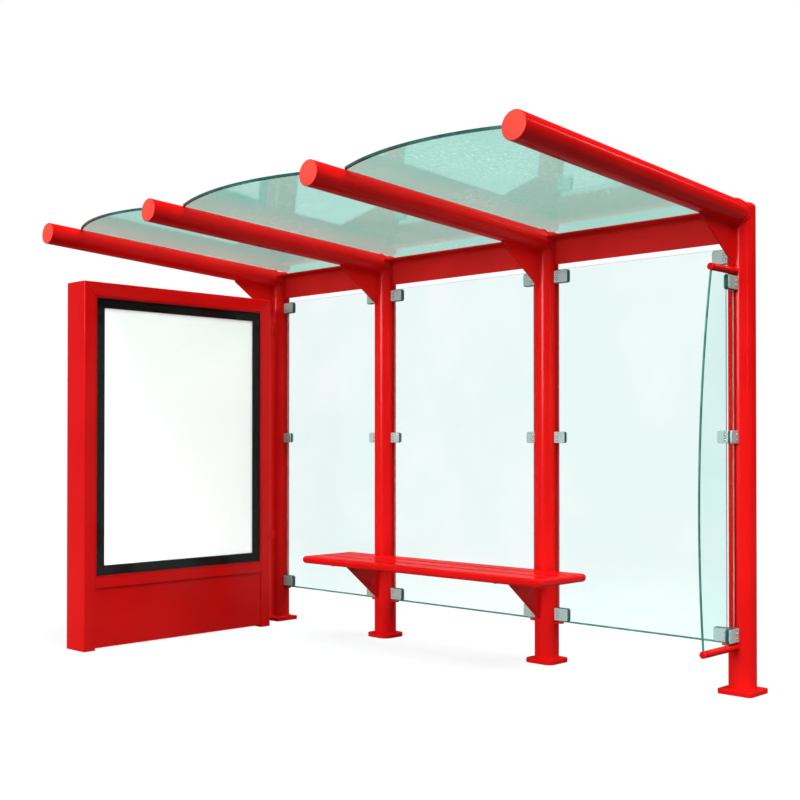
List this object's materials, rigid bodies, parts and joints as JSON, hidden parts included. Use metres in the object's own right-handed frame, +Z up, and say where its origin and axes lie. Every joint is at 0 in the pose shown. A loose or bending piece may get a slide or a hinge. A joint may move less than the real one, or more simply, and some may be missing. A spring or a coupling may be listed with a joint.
{
  "type": "bus shelter",
  "caption": "Red steel bus shelter with round posts and roof arms, glass roof panes with curved front edges, glass back, side screen, slatted bench and a blank poster case.",
  "frame": {"origin": "on the ground, at the middle of the overall length and depth", "axes": "+X along the back wall from the poster case to the side screen, +Y to the back, +Z up; the open front faces -Y"},
  "size_m": [3.795, 1.9546, 2.5935],
  "materials": {
    "red_paint": "satin powder coat",
    "roof_glass": "green tinted, lightly textured",
    "screen_glass": "frosted, pale",
    "case_glass": "clear",
    "clamp_metal": "satin",
    "poster": "plain white, bare"
  },
  "bodies": {
    "root": {"arm_gusset_1": "red_paint", "arm_gusset_2": "red_paint", "arm_gusset_3": "red_paint", "arm_gusset_4": "red_paint", "base_plate_1": "red_paint", "base_plate_2": "red_paint", "base_plate_3": "red_paint", "base_plate_4": "red_paint", "bench_bracket_left": "red_paint", "bench_bracket_right": "red_paint", "bench_end_left": "red_paint", "bench_end_right": "red_paint", "bench_slat_front": "red_paint", "bench_slat_middle": "red_paint", "bench_slat_rear": "red_paint", "case_glass_left": "case_glass", "case_glass_right": "case_glass", "case_head": "red_paint", "case_sill": "red_paint", "case_stile_front": "red_paint", "case_stile_rear": "red_paint", "glass_lugs": "red_paint", "kick_panels": "red_paint", "post_1": "red_paint", "post_2": "red_paint", "post_3": "red_paint", "post_4": "red_paint", "poster_left": "poster", "poster_right": "poster", "rear_beam_1": "red_paint", "rear_beam_2": "red_paint", "rear_beam_3": "red_paint", "rear_clamps_1": "clamp_metal", "rear_clamps_2": "clamp_metal", "rear_clamps_3": "clamp_metal", "rear_glass_1": "screen_glass", "rear_glass_2": "screen_glass", "rear_glass_3": "screen_glass", "roof_arm_1": "red_paint", "roof_arm_2": "red_paint", "roof_arm_3": "red_paint", "roof_arm_4": "red_paint", "roof_glass_1": "roof_glass", "roof_glass_2": "roof_glass", "roof_glass_3": "roof_glass", "side_clamps": "clamp_metal", "side_glass": "screen_glass", "side_rod_lower": "red_paint", "side_rod_upper": "red_paint"}
  },
  "joints": []
}
